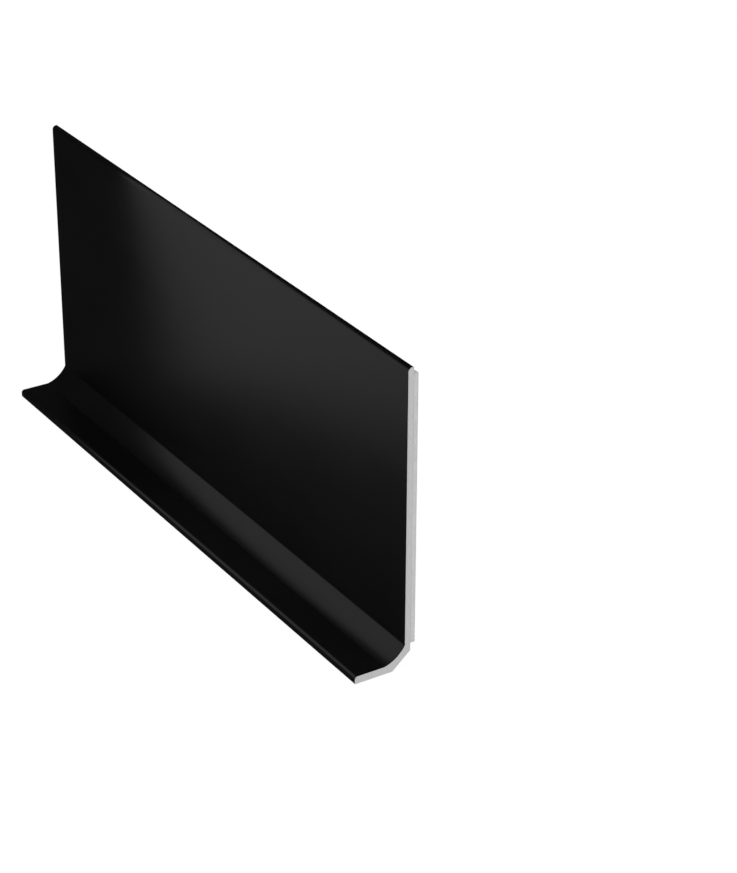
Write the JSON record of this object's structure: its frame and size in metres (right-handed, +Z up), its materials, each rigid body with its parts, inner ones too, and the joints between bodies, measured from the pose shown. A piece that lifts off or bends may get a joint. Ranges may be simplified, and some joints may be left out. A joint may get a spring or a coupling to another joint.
{
  "type": "kick plate",
  "caption": "Skirting-type kick plate: a thin upright web with a small concave cove and a short foot at its base, and a self-adhesive foam strip on its back.",
  "frame": {"origin": "bottom centre of the object's box: mid-length and mid-depth, on the flat underside of the foot, which rests on the floor", "axes": "+X along the length, +Y into the wall behind, +Z up from the floor; the wall plane is at Y = +6.35 mm and the toe at Y = -6.35 mm"},
  "size_m": [0.135, 0.0126, 0.06],
  "materials": {
    "black_anodised_aluminium": "satin",
    "light_grey_foam": "matte",
    "release_liner_paper": "satin"
  },
  "bodies": {
    "root": {"cove_profile": "black_anodised_aluminium", "adhesive_foam_strip": "light_grey_foam", "release_liner": "release_liner_paper"}
  },
  "joints": []
}
